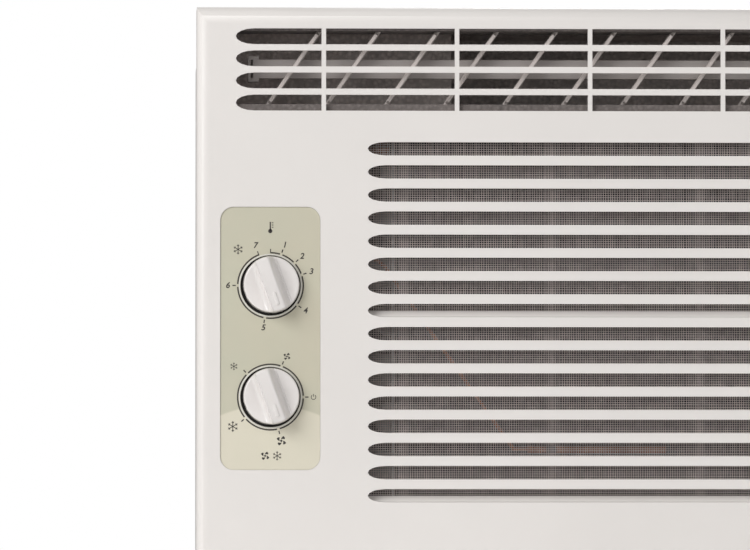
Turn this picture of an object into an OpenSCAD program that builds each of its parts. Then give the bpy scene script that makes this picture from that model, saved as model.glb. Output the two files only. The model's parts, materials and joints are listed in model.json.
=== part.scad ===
// Window air conditioner: a 16 by 12 inch class room unit with a slotted front
// panel, two dials, slanted air vanes, and the whole refrigeration set inside.
// +X is to the right seen from the front, the front faces -Y, +Z is up.
// The origin is the middle of the footprint, on the surface that it stands on.

/* [Overall size] */
// Width across the front panel
body_w = 406; // [400:1:412]
// Height from the base pan's underside to the panel's top
body_h = 305; // [303:1:308]
// Depth from the knobs' faces to the back of the case
body_d = 387; // [385:1:392]

/* [Front panel] */
// Wall of the moulded panel
panel_wall = 2.4; // [2.2:0.1:2.6]
// Depth of the panel's side walls
panel_depth = 45; // [43:1:47]
// Gap under the panel's bottom wall
panel_foot = 3; // [2:0.5:4]
// Radius of the panel's side edges
side_r = 6; // [4:0.5:8]
// Radius of the panel's top edge
top_r = 9; // [6:0.5:10]
// How far the knobs stand out of the panel
knob_out = 12; // [10:0.5:13]

/* [Discharge grille] */
// Plain margin at each end of the slots
discharge_margin = 20; // [19:0.5:22]
// Rows of slots
discharge_rows = 4; // [4]
// Height of a slot
discharge_slot_h = 8.25; // [7.5:0.05:8.6]
// Distance from one slot to the next
discharge_pitch = 11.42; // [11.3:0.01:11.5]
// Distance between the upright dividers
divider_pitch = 68.8; // [66:0.1:70]
// Width of a divider
divider_w = 2.3; // [2:0.1:3]

/* [Intake grille] */
// Rows of slots
intake_rows = 16; // [16]
// Height of a slot
intake_slot_h = 6.9; // [6:0.1:7.5]
// Distance from one slot to the next
intake_pitch = 11.93; // [11.8:0.01:12]
// Left tip of the slots, from the middle of the panel
intake_left = 114.9; // [112:0.1:116]

/* [Air vanes] */
// Distance between vanes
vane_pitch = 30.6; // [30:0.1:31]
// Lean of the vanes from upright, in degrees
vane_lean = 35; // [34:0.5:36]
// Thickness of a vane
vane_t = 1.5; // [1.4:0.1:2]
// Distance from the pivots back to the link's pins
vane_crank = 8; // [8]

/* [Dials] */
// Radius of a knob
knob_r = 14.6; // [14:0.1:14.9]
// Radius of a knob's hole in the control plate
dial_hole_r = 15.5; // [15.4:0.1:16]
// Turn of the knobs' grips at rest, in degrees
knob_turn = 20; // [0:1:40]

/* [Fans] */
// Radius of the blower wheel
blower_r = 75; // [70:1:76]
// Blades on the blower wheel
blower_blades = 40; // [30:1:44]
// Radius of the rear fan, out to its slinger ring
fan_r = 110; // [104:1:111]
// Diameter of the motor shaft
shaft_d = 8; // [8]

/* [Coils] */
// Distance between the coils' tubes
tube_pitch = 25.4; // [25.4]
// Outer diameter of the coils' tubes
tube_d = 9.5; // [9:0.1:10]
// Tube rows in the rear coil
condenser_rows = 10; // [10]
// Tube rows in the front coil
evaporator_rows = 8; // [8]

/* [Hidden] */
$fn = 64;

// Clearances and sheet gauges
gap = 0.3;
sheet = 1;
pan_sheet = 1.2;

// Stations from front to back
y_knob = -body_d / 2;
y_face = y_knob + knob_out;
y_in = y_face + panel_wall;
y_rim = y_face + panel_depth;
y_back = body_d / 2;

// Front panel
half_w = body_w / 2;
panel_in = half_w - panel_wall;
bottom_r = 5;
slot_end = 9.6;

// Discharge slots, vanes and their frame
discharge_x = half_w - discharge_margin;
discharge_top_z = body_h - 15.5;
discharge_mid_z = discharge_top_z - discharge_pitch * (discharge_rows - 1) / 2;
vane_n = 11;
vane_z = body_h - 31.4;
vane_y = y_in + 9.5;
vane_swing = 25;
vane_front = 5;
vane_rear = 11;
rail_t = 3.8;
rail_half = 19;
pin_r = 1.2;
pin_bore_r = pin_r + 0.05;
crank_pin_r = 1;
link_h = 9.8;
link_front = 3.6;
link_rear = 2.8;
link_x = 170.8;
link_tab = 5.7;
link_tab_h = 13.4;
frame_y0 = y_in + 0.4;
frame_y1 = vane_y + 17;

// Intake slots and the filter behind them
intake_top_z = body_h - 73.5;
intake_end = 9.3;
rail_rows = [7, 15];
filter_y0 = y_in + 5;
filter_t = 2;
mesh_t = 0.6;
filter_y1 = filter_y0 + filter_t + mesh_t;
filter_x0 = -122;
filter_x1 = panel_in - 1.6;
filter_z0 = 44;
filter_z1 = 243;
filter_border = 6;
filter_rib_w = 4.9;
filter_rib_x = -96;
filter_rib_pitch = 76.5;
filter_ribs = 4;

// Control plate and dials
plate_x = -165.2;
plate_half = 25.8;
plate_z0 = body_h - 239.2;
plate_z1 = body_h - 103.6;
plate_r = 7;
plate_t = 1.2;
plate_sunk = 0.5;
dial_x = -164.6;
dial_z = [body_h - 143.8, body_h - 201.3];
dial_lean = [0.45, 0.35];
spindle_r = 3;

// Case
case_w = panel_in - gap;
case_top = body_h - panel_wall - gap;
case_y0 = y_rim - 12;
case_foot = 1.5;
case_r = 8;
pan_w = case_w - sheet - gap;
pan_y0 = y_rim - 20;
pan_y1 = y_back - sheet - 0.5;
pan_wall_h = 18;
panel_screw_y = (case_y0 + y_rim) / 2;
panel_screw_z = [60, 248];
case_screw_y = [-100, 40, 165];
case_screw_z = 11;
screw_r = 2;
rail_hole_r = 2.5;
rail_hole_x = 150;
rail_hole_y = -90;
curtain_hole_y = -105;
curtain_hole_z = 180;
curtain_mid_z = 150;
gland_y = -120;
gland_z = 36;
gland_bore_r = 4.5;
gland_r = 8;

// Shared fan axis
fan_x = 35;
fan_z = 135;
shaft_y0 = -114;
shaft_y1 = 112;
wheel_y0 = -122;
wheel_y1 = -68;
rear_fan_y0 = 86;
rear_fan_y1 = 110;
motor_y0 = -38;
motor_y1 = 18;
motor_r = 46;
scroll_r = blower_r + 13;
scroll_x0 = fan_x - scroll_r - 17;
scroll_x1 = fan_x + scroll_r + 17;
scroll_z0 = 30;
scroll_y0 = -132;
scroll_y1 = -56;
duct_z0 = 247.3;
duct_z1 = body_h - 7.8;
duct_x = 184.5;
duct_y0 = frame_y1 + gap;
partition_y = -54;
shroud_y = 100;
shroud_x = 180;

// Coils
evap_y0 = y_in + 13;
evap_d = 26;
evap_x0 = -100.8;
evap_x1 = 176;
evap_z0 = 42;
cond_d = 32;
cond_y0 = y_back - sheet - 9 - cond_d;
cond_x = 176;
cond_z0 = 22;
end_t = 1.2;

// Compressor
comp_x = -118;
comp_y = 18;
comp_r = 55;
comp_z0 = 16;
comp_h = 165;
comp_foot_r = 68;
acc_x = -163;
acc_y = 77;
acc_r = 16;
acc_z0 = 52;
acc_h = 98;
line_r = 3.2;
suction_r = 4;
cap_r = 1;

// Outer and inner outline helpers -------------------------------------------

module block(lo, hi) {
  translate(lo) cube(hi - lo);
}

module along_y(y0, y1) {
  translate([0, y1, 0]) rotate([90, 0, 0]) linear_extrude(y1 - y0) children();
}

module along_x(x0, x1) {
  translate([x0, 0, 0]) rotate([90, 0, 90]) linear_extrude(x1 - x0) children();
}

module rod_y(x, z, y0, y1, r) {
  translate([x, y1, z]) rotate([90, 0, 0]) cylinder(r = r, h = y1 - y0);
}

module rod_x(y, z, x0, x1, r) {
  translate([x0, y, z]) rotate([0, 90, 0]) cylinder(r = r, h = x1 - x0);
}

module rounded(lo, hi, r) {
  translate([lo.x + r, lo.y]) square([hi.x - lo.x - 2 * r, hi.y - lo.y]);
  translate([lo.x, lo.y + r]) square([hi.x - lo.x, hi.y - lo.y - 2 * r]);
  for (x = [lo.x + r, hi.x - r], y = [lo.y + r, hi.y - r])
    translate([x, y]) circle(r);
}

// A round bar from one point to another
module rod(from, to, r, sides = 64) {
  run = to - from;
  translate(from)
    rotate([0, acos(run.z / norm(run)), atan2(run.y, run.x)])
      cylinder(r = r, h = norm(run), $fn = sides);
}

// A tube run through three or more points, with ball corners
module pipe(points, r, sides = 64) {
  last = len(points) - 1;
  for (i = [0:last - 1]) rod(points[i], points[i + 1], r, sides);
  for (i = [1:last - 1]) translate(points[i]) sphere(r * 1.05, $fn = sides);
}

// A slot outline with half-ellipse ends
function slot_outline(x0, x1, z, end, half_h, steps = 8) = concat(
  [for (i = [0:steps]) let (t = 90 + 180 * i / steps)
    [x0 + end + end * cos(t), z + half_h * sin(t)]],
  [for (i = [0:steps]) let (t = -90 + 180 * i / steps)
    [x1 - end + end * cos(t), z + half_h * sin(t)]]);

// Front ------------------------------------------------------------------------

module panel_plan(inset, y1) {
  translate([-half_w + inset, y_face + side_r])
    square([body_w - 2 * inset, y1 - y_face - side_r]);
  translate([-half_w + side_r, y_face + inset])
    square([body_w - 2 * side_r, y1 - y_face - inset]);
  for (s = [-1, 1])
    translate([s * (half_w - side_r), y_face + side_r]) circle(side_r - inset);
}

module panel_side(inset, y1) {
  z0 = panel_foot + inset;
  z1 = body_h - inset;
  translate([y_face + top_r, z0]) square([y1 - y_face - top_r, z1 - z0]);
  translate([y_face + inset, panel_foot + bottom_r])
    square([y1 - y_face - inset, body_h - top_r - panel_foot - bottom_r]);
  translate([y_face + top_r, body_h - top_r]) circle(top_r - inset);
  translate([y_face + bottom_r, panel_foot + bottom_r]) circle(bottom_r - inset);
  translate([y_face + bottom_r, z0]) square([top_r, top_r]);
}

module panel_shape(inset, y1) {
  intersection() {
    linear_extrude(body_h + 1) panel_plan(inset, y1);
    along_x(-half_w - 1, half_w + 1) panel_side(inset, y1);
  }
}

module discharge_slots() {
  difference() {
    for (i = [0:discharge_rows - 1])
      polygon(slot_outline(-discharge_x, discharge_x, discharge_top_z - i * discharge_pitch,
        slot_end, discharge_slot_h / 2));
    for (i = [-2:2])
      translate([i * divider_pitch - divider_w / 2, discharge_mid_z - 30]) square([divider_w, 60]);
  }
}

module intake_slots() {
  for (i = [0:intake_rows - 1])
    polygon(slot_outline(-intake_left, discharge_x, intake_top_z - i * intake_pitch,
      intake_end, intake_slot_h / 2));
}

module plate_outline(inset) {
  rounded([plate_x - plate_half + inset, plate_z0 + inset],
    [plate_x + plate_half - inset, plate_z1 - inset], plate_r - inset);
}

module dial_holes(r) {
  for (z = dial_z) translate([dial_x - dial_lean[0], z - dial_lean[1]]) circle(r);
}

// Sloped ledge that closes the lower half of a slot and steadies the filter
module filter_ledge(row) {
  z = intake_top_z - row * intake_pitch;
  y1 = filter_y0 - 0.5;
  along_x(-intake_left - 1, discharge_x + 1)
    polygon([[y_in, z - intake_slot_h / 2], [y_in + 2, z - intake_slot_h / 2 + 0.6], [y1, z],
      [y1, z - intake_slot_h / 2 - 1], [y_in, z - intake_slot_h / 2 - 1.6]]);
}

// Channel that the filter slides in, above it or below it
module filter_channel(z, up) {
  lip = 3;
  wall = 1.2;
  y1 = filter_y1 + 0.4;
  z_in = z + up * 0.4;
  along_x(filter_x0 - 2, panel_in)
    polygon([[y_in, z_in], [y1, z_in], [y1, z_in - up * lip], [y1 + wall, z_in - up * lip],
      [y1 + wall, z_in + up * wall], [y_in, z_in + up * wall]]);
}

module front_panel() {
  color("#e9e5e1") {
    difference() {
      panel_shape(0, y_rim);
      panel_shape(panel_wall, y_rim + 1);
      along_y(y_face - 1, y_in + 1) {
        discharge_slots();
        intake_slots();
        dial_holes(dial_hole_r + 0.5);
      }
      along_y(y_face - 1, y_face + plate_sunk + plate_t) plate_outline(0);
      block([-half_w, pan_y0 - 1, 0], [half_w, y_rim + 1, panel_foot + bottom_r]);
      block([panel_in - 1, filter_y0 - 0.5, filter_z0 - 0.5],
        [half_w + 1, filter_y1 + 0.5, filter_z1 + 0.5]);
      for (z = panel_screw_z) {
        rod_x(panel_screw_y, z, -half_w - 1, half_w + 1, screw_r);
        for (s = [-1, 1])
          translate([s * half_w, 0, 0]) rod_x(panel_screw_y, z, -1.6, 1.6, 4.5);
      }
    }
    for (row = rail_rows) filter_ledge(row);
    filter_channel(filter_z1, 1);
    filter_channel(filter_z0, -1);
  }
}

module control_plate() {
  color("#c6c1b0")
    along_y(y_face + plate_sunk, y_face + plate_sunk + plate_t) difference() {
      plate_outline(0.1);
      dial_holes(dial_hole_r);
    }
}

module knob(z) {
  skirt_h = 7.5;
  y_skirt = y_face + 2.6;
  grip_half = 4.4;
  scoop_r = 16;
  color("#f1efec") translate([dial_x, 0, z]) rotate([0, -knob_turn, 0]) difference() {
    union() {
      rod_y(0, 0, y_skirt - skirt_h, y_skirt, knob_r);
      rod_y(0, 0, y_knob + 1.2, y_skirt, knob_r - 1);
      intersection() {
        rod_y(0, 0, y_knob, y_skirt, knob_r - 1.8);
        block([-grip_half, y_knob, -knob_r], [grip_half, y_skirt, knob_r]);
      }
    }
    for (s = [-1, 1])
      translate([s * (grip_half + scoop_r - 0.6), y_knob - 3, 0])
        cylinder(r = scoop_r, h = 2 * knob_r + 2, center = true);
    rod_y(0, 0, y_knob + 5, y_skirt + 1, spindle_r);
  }
}

module temperature_knob() {
  knob(dial_z[0]);
}

module mode_knob() {
  knob(dial_z[1]);
}

module spindle(z) {
  color("#c9c9cb") rod_y(dial_x, z, y_knob + 5, y_in + 20, spindle_r);
}

module temperature_spindle() {
  spindle(dial_z[0]);
}

module mode_spindle() {
  spindle(dial_z[1]);
}

// Places its children on one vane: local z runs along the vane's slanted pivot
module at_vane(i) {
  translate([(i - (vane_n - 1) / 2) * vane_pitch, vane_y, vane_z]) rotate([0, vane_lean, 0]) children();
}

module louvre_frame() {
  reach = discharge_x + 2.2;
  color("#8d8781") difference() {
    along_y(frame_y0, frame_y1) difference() {
      translate([-reach, vane_z - rail_half - rail_t]) square([2 * reach, 2 * (rail_half + rail_t)]);
      translate([-reach + 1.8, vane_z - rail_half]) square([2 * (reach - 1.8), 2 * rail_half]);
    }
    for (i = [0:vane_n - 1])
      at_vane(i) cylinder(r = pin_bore_r, h = 80, center = true);
  }
}

// The widest reach along the pivot that stays inside the rails at a given depth
function vane_reach(depth) =
  (rail_half - 0.55 - depth * sin(vane_swing) * sin(vane_lean)) / cos(vane_lean);

module vane(i) {
  top = vane_reach(0);
  front = vane_reach(vane_front);
  rear = vane_reach(vane_rear);
  notch = link_h / 2 / cos(vane_lean) + 2;
  color("#cfc9c6") at_vane(i) {
    translate([-vane_t / 2, 0, 0]) rotate([90, 0, 90]) linear_extrude(vane_t) polygon([
      [-vane_front, -front], [0, -top], [vane_rear, -rear], [vane_rear, -notch], [4, -notch],
      [4, notch], [vane_rear, notch], [vane_rear, rear], [0, top], [-vane_front, front]]);
    cylinder(r = pin_r, h = 2 * (rail_half + rail_t - 0.6) / cos(vane_lean), center = true);
    translate([0, vane_crank, 0]) cylinder(r = crank_pin_r, h = 2 * notch + 1, center = true);
  }
}

module vane_01() { vane(0); }
module vane_02() { vane(1); }
module vane_03() { vane(2); }
module vane_04() { vane(3); }
module vane_05() { vane(4); }
module vane_06() { vane(5); }
module vane_07() { vane(6); }
module vane_08() { vane(7); }
module vane_09() { vane(8); }
module vane_10() { vane(9); }
module vane_11() { vane(10); }

module vane_link() {
  pin_y = vane_y + vane_crank;
  play = crank_pin_r + 0.25;
  swing_in = vane_crank * (1 - cos(vane_swing));
  color("#c3bebb") difference() {
    union() {
      block([-link_x, pin_y - link_front, vane_z - link_h / 2],
        [link_x, pin_y + link_rear, vane_z + link_h / 2]);
      for (s = [-1, 1]) translate([s * (link_x + link_tab / 2), 0, 0])
        block([-link_tab / 2, pin_y - link_front, vane_z - link_tab_h / 2],
          [link_tab / 2, pin_y + link_rear, vane_z + link_tab_h / 2]);
    }
    for (i = [0:vane_n - 1]) at_vane(i)
      block([-play, vane_crank - play - swing_in, -20], [play, vane_crank + play, 20]);
    for (s = [-1, 1]) translate([s * (link_x + link_tab / 2 + 0.9), 0, 0])
      block([-0.6, pin_y - link_front - 1, vane_z - link_tab_h / 2 + 2],
        [0.6, pin_y, vane_z + link_tab_h / 2 - 2]);
  }
}

module filter_frame() {
  color("#8f8884") along_y(filter_y0 + mesh_t, filter_y1) {
    difference() {
      translate([filter_x0, filter_z0]) square([filter_x1 - filter_x0, filter_z1 - filter_z0]);
      translate([filter_x0 + filter_border, filter_z0 + filter_border])
        square([filter_x1 - filter_x0 - 2 * filter_border, filter_z1 - filter_z0 - 2 * filter_border]);
    }
    for (i = [0:filter_ribs - 1])
      translate([filter_rib_x + i * filter_rib_pitch - filter_rib_w / 2, filter_z0 + 1])
        square([filter_rib_w, filter_z1 - filter_z0 - 2]);
    translate([filter_x1 - 1, (filter_z0 + filter_z1) / 2 - 20]) square([half_w - filter_x1 + 0.4, 40]);
  }
}

module filter_mesh() {
  color("#6f6a67") block([filter_x0 + 2, filter_y0, filter_z0 + 2],
    [filter_x1 - 2, filter_y0 + mesh_t, filter_z1 - 2]);
}

module panel_screws() {
  color("#b9bbbd") for (s = [-1, 1], z = panel_screw_z) mirror([s < 0 ? 1 : 0, 0, 0]) {
    rod_x(panel_screw_y, z, case_w - 3.6, half_w - 1.6, screw_r);
    rod_x(panel_screw_y, z, half_w - 1.6, half_w - 0.2, 3.8);
  }
}

// Case -------------------------------------------------------------------------

module case_outline(inset) {
  intersection() {
    rounded([-case_w + inset, -40], [case_w - inset, case_top - inset], case_r - inset);
    translate([-case_w, case_foot]) square([2 * case_w, body_h]);
  }
}

// A round-ended slot centred on a point
module round_slot(long, high) {
  square([long - high, high], center = true);
  for (s = [-1, 1]) translate([s * (long - high) / 2, 0]) circle(high / 2);
}

module case_vents() {
  for (col = [0:2], row = [0:13])
    along_x(-half_w, half_w) translate([6 + col * 36, 60 + row * 13]) round_slot(28, 4);
  for (col = [0:6], row = [0:4])
    translate([-156 + col * 52, 16 + row * 14, case_top - 5]) linear_extrude(10) round_slot(40, 4);
}

module cabinet() {
  color("#dddad5") difference() {
    union() {
      along_y(case_y0, y_back) difference() {
        case_outline(0);
        case_outline(sheet);
        translate([-case_w + sheet, 0]) square([2 * (case_w - sheet), 20]);
      }
      along_y(y_back - sheet, y_back) difference() {
        case_outline(0.5);
        rounded([-184, 19], [184, 286], 6);
      }
    }
    case_vents();
    for (z = panel_screw_z) rod_x(panel_screw_y, z, -half_w, half_w, screw_r);
    for (y = case_screw_y) rod_x(y, case_screw_z, -half_w, half_w, screw_r);
    for (s = [-1, 1]) translate([s * rail_hole_x, rail_hole_y, case_top - 5])
      cylinder(r = rail_hole_r, h = 10);
    for (s = [-1, 1])
      rod_x(curtain_hole_y, curtain_mid_z + s * curtain_hole_z / 2, -half_w, half_w, rail_hole_r);
    rod_x(gland_y, gland_z, -half_w, -case_w + 3, gland_r - 2);
  }
}

module base_pan() {
  ridge = 6;
  color("#b4b6b6") difference() {
    union() {
      difference() {
        block([-pan_w, pan_y0, 0], [pan_w, pan_y1, pan_wall_h]);
        block([-pan_w + pan_sheet, pan_y0 + pan_sheet, pan_sheet],
          [pan_w - pan_sheet, pan_y1 - pan_sheet, pan_wall_h + 1]);
      }
      // Ridge that keeps the condensate at the rear fan's slinger ring
      for (x = [-90, 160]) block([x, 79, pan_sheet], [x + 2, 98, ridge]);
      // Stiffening swages, front to back
      for (x = [-60, 0, 60, 120]) block([x, -44, pan_sheet], [x + 5, -24, pan_sheet + 1.2]);
    }
    for (y = case_screw_y) rod_x(y, case_screw_z, -half_w, half_w, screw_r);
  }
}

module partition() {
  color("#aeb1b2") difference() {
    union() {
      block([-pan_w + 2, partition_y, pan_sheet], [pan_w - 2, partition_y + pan_sheet, case_top - 2]);
      block([-pan_w + 2, partition_y, pan_sheet], [pan_w - 2, partition_y + 9, 2 * pan_sheet]);
    }
    rod_y(fan_x, fan_z, partition_y - 1, partition_y + 3, 24);
    // Pass-through for the suction line and the capillary tube
    block([-126, partition_y - 1, 222], [-104, partition_y + 3, 254]);
  }
}

module fan_shroud() {
  wall = 2;
  orifice_r = fan_r + 5;
  color("#3b3d40") {
    along_y(shroud_y, shroud_y + wall) difference() {
      translate([-shroud_x, 8]) square([2 * shroud_x, 273]);
      translate([fan_x, fan_z]) circle(orifice_r);
    }
    along_y(shroud_y - 16, shroud_y + wall) difference() {
      translate([fan_x, fan_z]) circle(orifice_r + 2.4);
      translate([fan_x, fan_z]) circle(orifice_r);
    }
    along_y(shroud_y, cond_y0 - 0.5) difference() {
      translate([-shroud_x, 8]) square([2 * shroud_x, 273]);
      translate([-shroud_x + wall, 8 + wall]) square([2 * (shroud_x - wall), 273 - 2 * wall]);
    }
  }
}

module cabinet_screws() {
  color("#b9bbbd") for (s = [-1, 1], y = case_screw_y) mirror([s < 0 ? 1 : 0, 0, 0]) {
    rod_x(y, case_screw_z, case_w - 9, case_w, screw_r);
    translate([case_w, y, case_screw_z]) rotate([0, 90, 0]) cylinder(r = 4.2, h = 2, $fn = 6);
  }
}

module cord_gland() {
  color("#2c2c2e") difference() {
    union() {
      rod_x(gland_y, gland_z, -case_w - 2.2, -case_w, gland_r);
      rod_x(gland_y, gland_z, -case_w, -case_w + sheet, gland_r - 2);
      rod_x(gland_y, gland_z, -case_w + sheet, -case_w + sheet + 4, gland_r);
    }
    rod_x(gland_y, gland_z, -half_w, -case_w + 10, gland_bore_r);
  }
}

// Refrigeration ----------------------------------------------------------------

// A drawn steel pot with rounded ends
module pot(r, h, end_r) {
  rotate_extrude() {
    square([r - end_r, h]);
    translate([0, end_r]) square([r, h - 2 * end_r]);
    for (z = [end_r, h - end_r]) translate([r - end_r, z]) circle(end_r);
  }
}

module at_feet() {
  for (i = [0:2]) translate([comp_x, comp_y, 0]) rotate([0, 0, 100 + 120 * i])
    translate([comp_foot_r, 0, 0]) children();
}

module compressor() {
  color("#1f2123") difference() {
    union() {
      translate([comp_x, comp_y, comp_z0]) pot(comp_r, comp_h, 22);
      translate([comp_x, comp_y, comp_z0 + 84]) cylinder(r = comp_r + 1.6, h = 5);
      for (i = [0:2]) translate([comp_x, comp_y, comp_z0 - 1]) rotate([0, 0, 100 + 120 * i]) {
        block([0, -12, 0], [comp_foot_r, 12, 3]);
        translate([comp_foot_r, 0, 0]) cylinder(r = 12, h = 3);
      }
    }
    at_feet() cylinder(r = 6, h = 30);
  }
}

module compressor_grommets() {
  color("#2c2c2e") at_feet() difference() {
    union() {
      translate([0, 0, pan_sheet + 2]) cylinder(r = 10, h = comp_z0 - 3 - pan_sheet);
      translate([0, 0, comp_z0 - 1]) cylinder(r = 6, h = 3);
      translate([0, 0, comp_z0 + 2]) cylinder(r = 9, h = 3);
    }
    cylinder(r = 3.2, h = 40);
  }
}

module compressor_bolts() {
  color("#b9bbbd") at_feet() {
    translate([0, 0, pan_sheet]) cylinder(r = 9, h = 2);
    translate([0, 0, pan_sheet + 2]) cylinder(r = 3, h = 22);
    translate([0, 0, comp_z0 + 5]) cylinder(r = 7, h = 1.2);
    translate([0, 0, comp_z0 + 6.2]) cylinder(r = 6, h = 4.8, $fn = 6);
  }
}

module terminal_cover() {
  color("#35373a") translate([comp_x - 12, comp_y - 4, comp_z0 + comp_h]) {
    cylinder(r = 16, h = 13);
    translate([0, 0, 13]) cylinder(r = 12, h = 3);
  }
}

module accumulator() {
  color("#1f2123") {
    translate([acc_x, acc_y, acc_z0]) pot(acc_r, acc_h, 7);
    translate([acc_x, acc_y, acc_z0 + acc_h]) cylinder(r = suction_r + 1.5, h = 6);
  }
}

// Centres of a coil's tubes, as [y, z] pairs for each of its two banks
function tube_z(z0, i) = z0 + tube_pitch * (i + 0.5);
function bank_y(y0, depth, bank) = y0 + depth * (bank == 0 ? 0.25 : 0.75);

module fin_block(x0, x1, y0, depth, z0, rows) {
  difference() {
    block([x0, y0, z0], [x1, y0 + depth, z0 + rows * tube_pitch]);
    for (bank = [0, 1], i = [0:rows - 1])
      rod_x(bank_y(y0, depth, bank), tube_z(z0, i), x0 - 1, x1 + 1, tube_d / 2);
  }
}

module end_sheet(x, y0, depth, z0, z1, tube_z0, rows) {
  difference() {
    block([x, y0, z0], [x + end_t, y0 + depth, z1]);
    for (bank = [0, 1], i = [0:rows - 1])
      rod_x(bank_y(y0, depth, bank), tube_z(tube_z0, i), x - 1, x + end_t + 1, tube_d / 2);
  }
}

// A half-circle return bend; side is 1 for the right end and -1 for the left
module return_bend(x, y, z, side) {
  translate([x, y, z]) rotate([90, 0, 0]) rotate([0, 0, side > 0 ? -90 : 90])
    rotate_extrude(angle = 180) translate([tube_pitch / 2, 0]) circle(tube_d / 2);
}

module coil_tubes(x0, x1, y0, depth, z0, rows) {
  end0 = x0 - end_t - 1;
  end1 = x1 + end_t + 1;
  for (bank = [0, 1]) {
    y = bank_y(y0, depth, bank);
    for (i = [0:rows - 1]) rod_x(y, tube_z(z0, i), end0, end1, tube_d / 2);
    for (i = [0:2:rows - 2]) return_bend(end1, y, tube_z(z0, i) + tube_pitch / 2, 1);
    for (i = [1:2:rows - 3]) return_bend(end0, y, tube_z(z0, i) + tube_pitch / 2, -1);
  }
  // Crossover between the two banks at the lowest row
  half = (bank_y(y0, depth, 1) - bank_y(y0, depth, 0)) / 2;
  translate([end0, y0 + depth / 2, tube_z(z0, 0)]) rotate([0, 0, 90])
    rotate_extrude(angle = 180) translate([half, 0]) circle(tube_d / 2);
}

module evaporator_fins() {
  color("#c2c5c7") fin_block(evap_x0, evap_x1, evap_y0, evap_d, evap_z0, evaporator_rows);
}

module evaporator_plates() {
  z1 = evap_z0 + evaporator_rows * tube_pitch + 1.5;
  color("#aeb1b2") for (x = [evap_x0 - end_t, evap_x1])
    end_sheet(x, evap_y0, evap_d, evap_z0 - 2, z1, evap_z0, evaporator_rows);
}

module evaporator_tubes() {
  color("#b87a4b") coil_tubes(evap_x0, evap_x1, evap_y0, evap_d, evap_z0, evaporator_rows);
}

module drip_tray() {
  wall = 1.5;
  x0 = evap_x0 - 18;
  x1 = evap_x1 + 4;
  y0 = evap_y0 - 2;
  y1 = evap_y0 + evap_d + 2.5;
  color("#e4e2dd") {
    difference() {
      block([x0, y0, 30], [x1, y1, evap_z0 - 2]);
      block([x0 + wall, y0 + wall, 30 + wall], [x1 - wall, y1 - wall, evap_z0]);
    }
    for (x = [evap_x0 - end_t, evap_x1 - 1]) block([x, y0 + wall, 30 + wall], [x + 3, y1 - wall, evap_z0 - 2]);
    for (x = [-60, 60, 140]) block([x, pan_y0 + 3, pan_sheet], [x + 3, y1 - 3, 30]);
  }
}

module condenser_fins() {
  color("#b9bdc0") fin_block(-cond_x, cond_x, cond_y0, cond_d, cond_z0, condenser_rows);
}

module condenser_plates() {
  z1 = cond_z0 + condenser_rows * tube_pitch + 3;
  color("#aeb1b2") for (x = [-cond_x - end_t, cond_x])
    end_sheet(x, cond_y0, cond_d, pan_sheet, z1, cond_z0, condenser_rows);
}

module condenser_tubes() {
  color("#b87a4b") coil_tubes(-cond_x, cond_x, cond_y0, cond_d, cond_z0, condenser_rows);
}

module discharge_pipe() {
  z = tube_z(cond_z0, condenser_rows - 1);
  y = bank_y(cond_y0, cond_d, 0);
  x = -cond_x - end_t - 1;
  color("#b87a4b") pipe([[comp_x + 23, comp_y + 7, comp_z0 + comp_h], [comp_x + 23, comp_y + 7, z],
    [comp_x + 23, 75, z], [-187, 75, z], [-187, y, z], [x - 0.1, y, z]], line_r);
}

module suction_pipe() {
  z = tube_z(evap_z0, evaporator_rows - 1);
  y = bank_y(evap_y0, evap_d, 1);
  away = [acc_x - comp_x, acc_y - comp_y] / norm([acc_x - comp_x, acc_y - comp_y]);
  shell = [comp_x, comp_y] + away * (comp_r + 0.2);
  color("#b87a4b") {
    pipe([[evap_x0 - end_t - 1.1, y, z], [-113, y, z], [-113, 0, z], [acc_x, acc_y, z],
      [acc_x, acc_y, acc_z0 + acc_h + 6]], suction_r);
    pipe([[acc_x, acc_y, acc_z0], [acc_x, acc_y, 38], [shell.x, shell.y, 38]], suction_r);
  }
}

module capillary_tube() {
  z_in = tube_z(evap_z0, evaporator_rows - 1);
  y_in_tube = bank_y(evap_y0, evap_d, 0);
  turns = 3;
  coil_r = 18;
  coil = [-150, -14, 262];
  color("#b87a4b") {
    pipe([[-187, 32, 280], [-187, 14, 280], [-187, coil.y, coil.z + 2], [coil.x - coil_r, coil.y, coil.z + 2]],
      cap_r, 8);
    for (k = [0:turns - 1]) translate(coil + [0, 0, 1.9 * (k - 1)])
      rotate_extrude() translate([coil_r, 0]) circle(cap_r, $fn = 8);
    pipe([[coil.x, coil.y - coil_r, coil.z - 2], [coil.x, -36, 246], [-121, -40, 246],
      [-121, y_in_tube, 246], [-121, y_in_tube, z_in],
      [evap_x0 - end_t - 1.1, y_in_tube, z_in]], cap_r, 8);
  }
}

module filter_drier() {
  y = bank_y(cond_y0, cond_d, 1);
  z = tube_z(cond_z0, condenser_rows - 1);
  color("#b87a4b") {
    rod_y(-187, 280, 46, 94, 9);
    rod_y(-187, 280, 40, 46, 5);
    rod_y(-187, 280, 32, 40, 2.2);
    rod_y(-187, 280, 94, 100, 5);
    pipe([[-187, 100, 280], [-187, y, 280], [-187, y, z], [-cond_x - end_t - 1.1, y, z]], line_r);
  }
}

// Air path ---------------------------------------------------------------------

module blower_housing() {
  outlet_x0 = fan_x - scroll_r;
  outlet_x1 = fan_x - 5;
  color("#f4f4f2") difference() {
    block([scroll_x0, scroll_y0, scroll_z0], [scroll_x1, scroll_y1, duct_z0]);
    rod_y(fan_x, fan_z, scroll_y0 - 1, scroll_y1 - 4, scroll_r);
    block([outlet_x0, scroll_y0 + 6, fan_z], [outlet_x1, scroll_y1 - 4, duct_z0 + 1]);
    rod_y(fan_x, fan_z, scroll_y1 - 5, scroll_y1 + 1, shaft_d);
  }
}

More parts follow.
